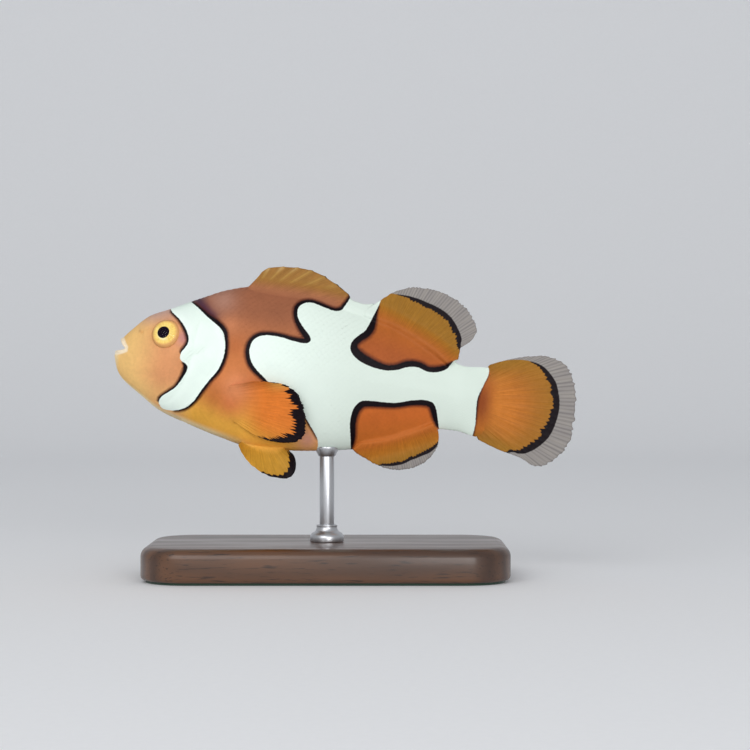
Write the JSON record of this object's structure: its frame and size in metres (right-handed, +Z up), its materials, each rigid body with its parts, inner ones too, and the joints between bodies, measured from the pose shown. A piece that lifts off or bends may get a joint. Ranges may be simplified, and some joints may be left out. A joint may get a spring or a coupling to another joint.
{
  "type": "clownfish",
  "caption": "Life-size clownfish in a nose-up swimming pose, fins spread and mouth slightly open, held over a flat base by one short rod under the belly.",
  "frame": {"origin": "on the ground, at the middle of the whole model's length and width", "axes": "+Z up, +X from the snout towards the tail, +Y towards the fish's right side"},
  "size_m": [0.0794, 0.034, 0.0535],
  "materials": {
    "face_skin": "smooth moist skin, satin",
    "orange_skin": "scaled skin, satin",
    "white_skin": "scaled skin, satin",
    "fin": "thin ribbed membrane, satin",
    "eye": "clear wet gloss over a yellow iris",
    "base_wood": "dark, satin lacquer",
    "steel": "satin"
  },
  "bodies": {
    "root": {"upper_jaw": "face_skin", "lower_jaw": "face_skin", "head": "face_skin", "gill_cover_left": "white_skin", "gill_cover_right": "white_skin", "trunk": "orange_skin", "tail_stem": "white_skin", "dorsal_fin_spiny": "fin", "dorsal_fin_soft": "fin", "anal_fin": "fin", "caudal_fin": "fin", "pectoral_fin_left": "fin", "pectoral_fin_right": "fin", "pelvic_fin_left": "fin", "pelvic_fin_right": "fin", "eye_left": "eye", "eye_right": "eye", "stand_base": "base_wood", "stand_collar": "steel", "stand_rod": "steel"}
  },
  "joints": []
}
